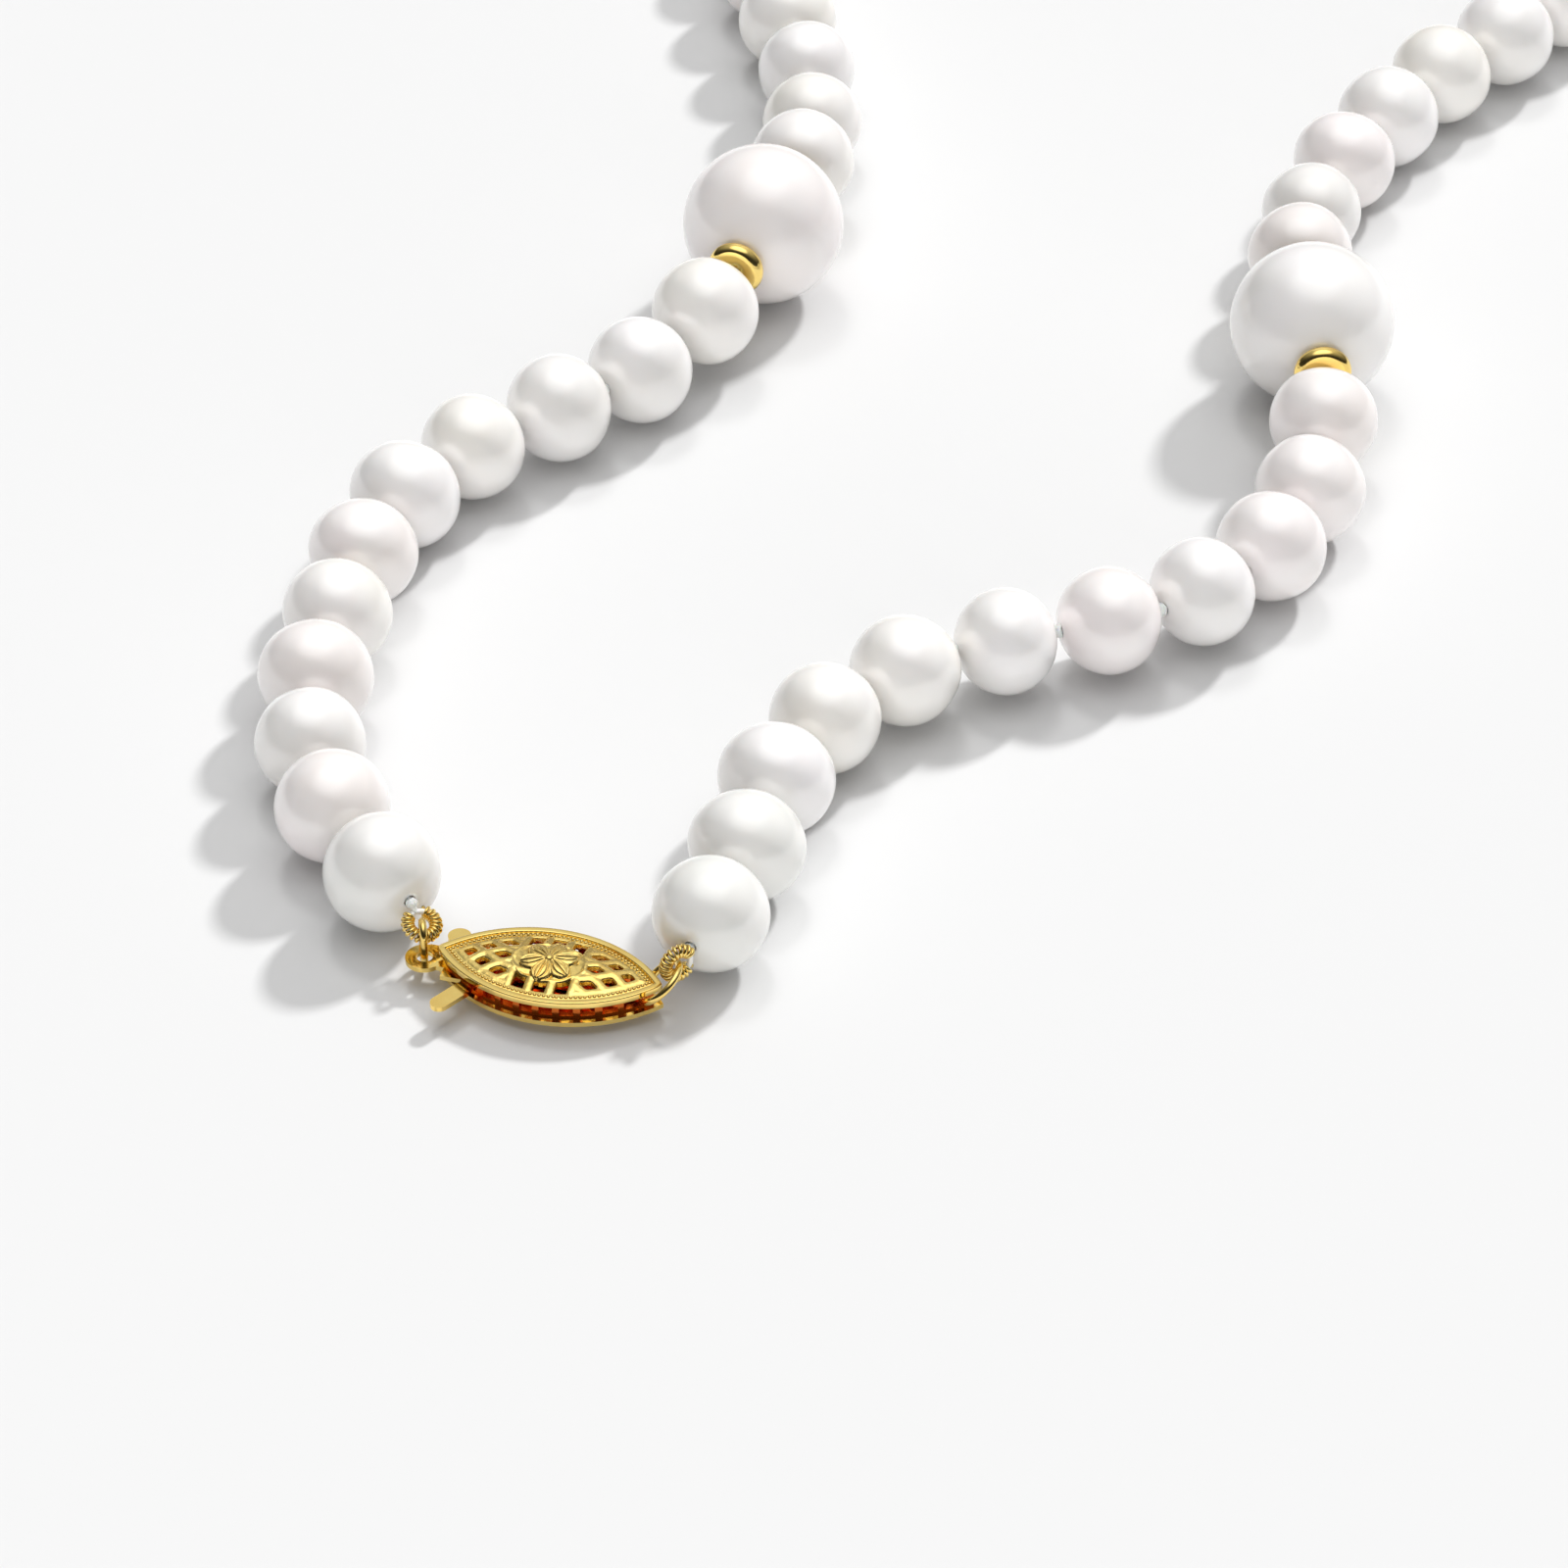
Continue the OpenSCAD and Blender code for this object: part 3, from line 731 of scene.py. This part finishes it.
def plate_relief(x, y):
    """The pierced plate's height, its underside, and where it is open."""
    a = ARC_R - np.hypot(x, y + ARC_C)
    b = ARC_R - np.hypot(x, y - ARC_C)
    edge = np.minimum(a, b)
    half = CW / 2 - CROWN_IN
    k = np.clip(1 - (half - np.clip(edge - CROWN_IN, 0, 9)) / half, 0, 1)
    rise = CROWN_RISE * (1 - (1 - k) ** 2)
    # Over and under the medallion the bars run straight across instead of with the arcs.
    mid = np.abs(x) < CROSS_HALF
    da = np.where(mid, off_line(x - CROSS / 2, CROSS), off_line(a - FIRST_BAR, STEP))
    db = np.where(mid, 9, off_line(b - FIRST_BAR, STEP))
    near = -np.log(np.exp(-18 * da) + np.exp(-18 * db)) / 18 + 0.01
    near = np.minimum(near, np.abs(np.abs(x) - CROSS_HALF))
    oval = np.hypot(x / MEDAL[0], y / MEDAL[1])
    near = np.minimum(near, np.minimum(edge - 0.94, (oval - 1) * 1.6) + BAR)
    depth = smooth((near - BAR) / BEVEL)
    crown = 0.07 * np.clip(1 - (near / BAR) ** 2, 0, 1)
    med = smooth((1.02 - oval) / 0.12)
    wave = 0.04 * np.sin(9 * np.arctan2(y, x) + 14 * oval) * med * smooth((oval - 0.35) / 0.2)
    flower = np.zeros_like(x)
    for n in range(PETALS):
        flower = np.maximum(flower, petal(x, y, 360 / PETALS * n + 20, PETAL_LONG, PETAL_HALF))
    ring = 0.04 * np.exp(-((oval - 0.95) / 0.05) ** 2)
    z = PLATE_TOP + rise + crown * (1 - med) + 0.02 * med + wave * (flower == 0) + ring + flower
    is_open = (near > BAR + BEVEL) & (oval > 1.02)
    return z - 0.28 * depth * (1 - med), PLATE_LOW + rise, is_open


def pierced_plate(nx=380, ny=190):
    """The relief as a closed mesh: face, underside and the walls of the holes."""
    r = ARC_R - RIM_WIDE
    gx = np.linspace(-1, 1, nx + 1)[:, None] * (math.sqrt(r ** 2 - ARC_C ** 2) - 0.01)
    gx = gx + np.zeros((1, ny + 1))
    gy = np.linspace(-1, 1, ny + 1)[None, :] * (np.sqrt(r ** 2 - gx ** 2) - ARC_C)
    face, under, _ = plate_relief(gx, gy)
    mx = (gx[1:, 1:] + gx[:-1, :-1]) / 2
    my = (gy[1:, 1:] + gy[:-1, :-1] + gy[1:, :-1] + gy[:-1, 1:]) / 4
    keep = ~plate_relief(mx, my)[2]
    verts, faces, seen = [], [], {}

    def corner(i, j, low):
        if (i, j, low) not in seen:
            seen[(i, j, low)] = len(verts)
            verts.append((gx[i, j], gy[i, j], under[i, j] if low else face[i, j]))
        return seen[(i, j, low)]

    for i in range(nx):
        for j in range(ny):
            if not keep[i, j]:
                continue
            c = [(i, j), (i + 1, j), (i + 1, j + 1), (i, j + 1)]
            faces.append(tuple(corner(*p, 0) for p in c))
            faces.append(tuple(corner(*p, 1) for p in c[::-1]))
            for k, (m, n) in enumerate(((i, j - 1), (i + 1, j), (i, j + 1), (i - 1, j))):
                if not (0 <= m < nx and 0 <= n < ny and keep[m, n]):
                    p, q = c[k], c[(k + 1) % 4]
                    faces.append((corner(*p, 1), corner(*q, 1), corner(*q, 0), corner(*p, 0)))
    return verts, faces


make("top_plate_pierced", *pierced_plate(), GOLD_STIPPLED, "clasp_box", "clasp_top_plate", "gold")
make("top_plate_boss", *ball(Vector((0, 0, 2.98)), 0.28, 28, 16, 0.7), GOLD, "clasp_box",
     "clasp_top_plate", "gold")

# The frame's own nodes that stay; all but the gallery get small rounded edges.
# Painted shade: the bottom plate's floor inside the case is painted deep red, the shaded
# inter-reflection of the case.
PLATE_GOLD_PAINTED_SHADE = paint_case_shade(gold("gold_bottom_plate_painted_shade", GOLD_TINT, POLISH), floor_in_case_shade_mask,
                        (0.80, 0.16, 0.02))
# Painted shade: the hook's strip past the case's mouth is painted deep red, as if shaded inside
# the case.
HOOK_GOLD_PAINTED_SHADE = paint_case_shade(gold("gold_hook_painted_shade", GOLD_TINT, POLISH), hook_in_case_shade_mask, (0.85, 0.22, 0.035))
EDGE = 0.06
# Painted shade: the gallery, latch bar and hook leaf are deep red gold all over, the shade of the
# case's inside.
for node, mat in (("clasp_bottom_plate", PLATE_GOLD_PAINTED_SHADE), ("clasp_gallery", GOLD_PAINTED_CASE_SHADE),
                  ("clasp_latch_bar", GOLD_PAINTED_CASE_SHADE), ("hook_leaf", GOLD_PAINTED_CASE_SHADE),
                  ("hook_tongue", HOOK_GOLD_PAINTED_SHADE)):
    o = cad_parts[node]
    o.data.materials.clear()
    o.data.materials.append(mat)
    if node != "clasp_gallery":
        bevel = o.modifiers.new("edges", "BEVEL")
        bevel.width, bevel.segments, bevel.limit_method = EDGE * MM, 3, "ANGLE"
        bevel.angle_limit, bevel.harden_normals = math.radians(50), False

# ---------------------------------------------------------------- floor, light
FLOOR_GREY, FLOOR_HALF = 0.71, 3
floor_mat, _, floor_shader = material("floor", Roughness=0.9)
floor_shader.inputs["Base Color"].default_value = (FLOOR_GREY, FLOOR_GREY, FLOOR_GREY, 1)
floor_shader.inputs["Specular IOR Level"].default_value = 0.0
floor_mesh = bpy.data.meshes.new("floor")
floor_mesh.from_pydata([(x * FLOOR_HALF, y * FLOOR_HALF, 0)
                        for x, y in ((-1, -1), (1, -1), (1, 1), (-1, 1))], [], [(0, 1, 2, 3)])
floor_mesh.materials.append(floor_mat)
floor = bpy.data.objects.new("floor", floor_mesh)
bpy.context.scene.collection.objects.link(floor)

# A white tent, bright overhead and behind, dim low down in front.
TENT_TOWARDS = (0.0, 0.51, 0.85)
TENT_STRENGTH = 0.50
world = bpy.data.worlds.new("world")
bpy.context.scene.world = world
world.use_nodes = True
wt = world.node_tree
bg = wt.nodes["Background"]
wc = add(wt, "ShaderNodeTexCoord")
dot = add(wt, "ShaderNodeVectorMath", operation="DOT_PRODUCT")
dot.inputs[1].default_value = TENT_TOWARDS
wt.links.new(wc.outputs["Generated"], dot.inputs[0])
wr = ramp(wt, dot.outputs["Value"], (0.13, 0.06), (0.38, 0.2), (0.64, 0.6), (0.8, 0.95),
          (0.92, 1.5))
wz = add(wt, "ShaderNodeSeparateXYZ")
wt.links.new(wc.outputs["Generated"], wz.inputs[0])
box = ramp(wt, wz.outputs["Z"], (0.82, 0.0), (0.94, 2.2))
tent = add(wt, "ShaderNodeMix", data_type="RGBA", blend_type="ADD")
tent.inputs["Factor"].default_value = 1.0
wt.links.new(wr.outputs["Color"], tent.inputs[6])
wt.links.new(box.outputs["Color"], tent.inputs[7])
wt.links.new(tent.outputs[2], bg.inputs["Color"])
bg.inputs["Strength"].default_value = TENT_STRENGTH


def sun(name, heading, height, strength, spread):
    """A distant lamp that lights and casts shadows but isn't mirrored as a spot.

    heading is its direction in plan; height and spread are in degrees.
    """
    d = bpy.data.lights.new(name, "SUN")
    d.energy, d.angle = strength, math.radians(spread)
    o = bpy.data.objects.new(name, d)
    h = math.radians(height)
    to = Vector((heading[0] * math.cos(h), heading[1] * math.cos(h), math.sin(h)))
    o.rotation_euler = (-to).to_track_quat("-Z", "Y").to_euler()
    o.location = to
    o.visible_glossy = False
    bpy.context.scene.collection.objects.link(o)


sun("key_low", (0.36, 0.93), 39, 2.45, 6)
sun("key_high", (-0.40, 0.92), 60, 0.5, 12)
sun("fill", (0.26, -0.97), 8, 1.7, 60)

bpy.context.scene.view_settings.view_transform = "Standard"
bpy.context.scene.view_settings.look = "None"
